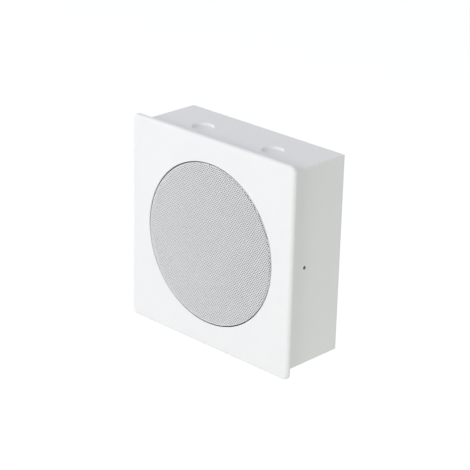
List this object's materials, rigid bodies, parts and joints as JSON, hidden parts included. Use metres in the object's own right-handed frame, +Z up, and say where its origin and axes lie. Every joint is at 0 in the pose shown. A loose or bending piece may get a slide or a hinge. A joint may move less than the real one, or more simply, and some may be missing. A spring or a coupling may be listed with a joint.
{
  "type": "flush wall speaker",
  "caption": "Flush wall speaker: square white steel front with a round domed perforated grille on a folded steel back box.",
  "frame": {"origin": "centre of the back box's rear outer face, in the middle of the four rear fixing holes", "axes": "+Y runs from the grille back into the wall, +Z is up, +X is to the right seen from the front"},
  "size_m": [0.2, 0.077, 0.2],
  "materials": {
    "white_coat": "satin",
    "grille_coat": "satin",
    "dust_cloth": "matte",
    "zinc_steel": "satin",
    "plated_iron": "satin",
    "gasket": "matte",
    "basket_paint": "satin",
    "surround_cloth": "matte",
    "cone_paper": "matte",
    "spider_cloth": "matte",
    "former_paper": "matte",
    "copper_wire": "satin",
    "ferrite": "matte",
    "phenolic": "satin",
    "tinned_brass": "satin",
    "lead_wire": "matte",
    "lamination": "matte",
    "bobbin_nylon": "matte",
    "block_nylon": "satin",
    "red_insulation": "satin",
    "black_insulation": "satin"
  },
  "bodies": {
    "speaker_body": {"back_box": "white_coat", "front_panel": "white_coat", "grille": "grille_coat", "grille_seal": "gasket", "grille_cloth": "dust_cloth", "panel_clips": "zinc_steel", "weld_studs": "zinc_steel", "driver_clamps": "zinc_steel", "clamp_nuts": "zinc_steel", "driver_gasket": "gasket", "basket": "basket_paint", "surround": "surround_cloth", "spider": "spider_cloth", "top_plate": "plated_iron", "magnet": "ferrite", "yoke": "plated_iron", "terminal_board": "phenolic", "board_rivets": "tinned_brass", "solder_tags": "tinned_brass", "tinsel_leads": "lead_wire", "transformer_core": "lamination", "transformer_bobbin": "bobbin_nylon", "transformer_coil": "copper_wire", "transformer_strap": "zinc_steel", "transformer_screws": "zinc_steel", "terminal_block": "block_nylon", "terminal_tubes": "tinned_brass", "terminal_screws": "zinc_steel", "block_screws": "zinc_steel", "line_leads": "red_insulation", "speaker_leads": "black_insulation"},
    "cone_assembly": {"cone": "cone_paper", "dust_cap": "cone_paper", "coil_former": "former_paper", "voice_coil": "copper_wire"}
  },
  "joints": [
    {"name": "cone_travel", "type": "slide", "parent": "speaker_body", "child": "cone_assembly", "axis": [0, -1, 0], "range_m": [-0.0025, 0.0025], "stiffness_N_per_m": 1500, "deforming": ["surround", "spider", "tinsel_leads"]}
  ]
}
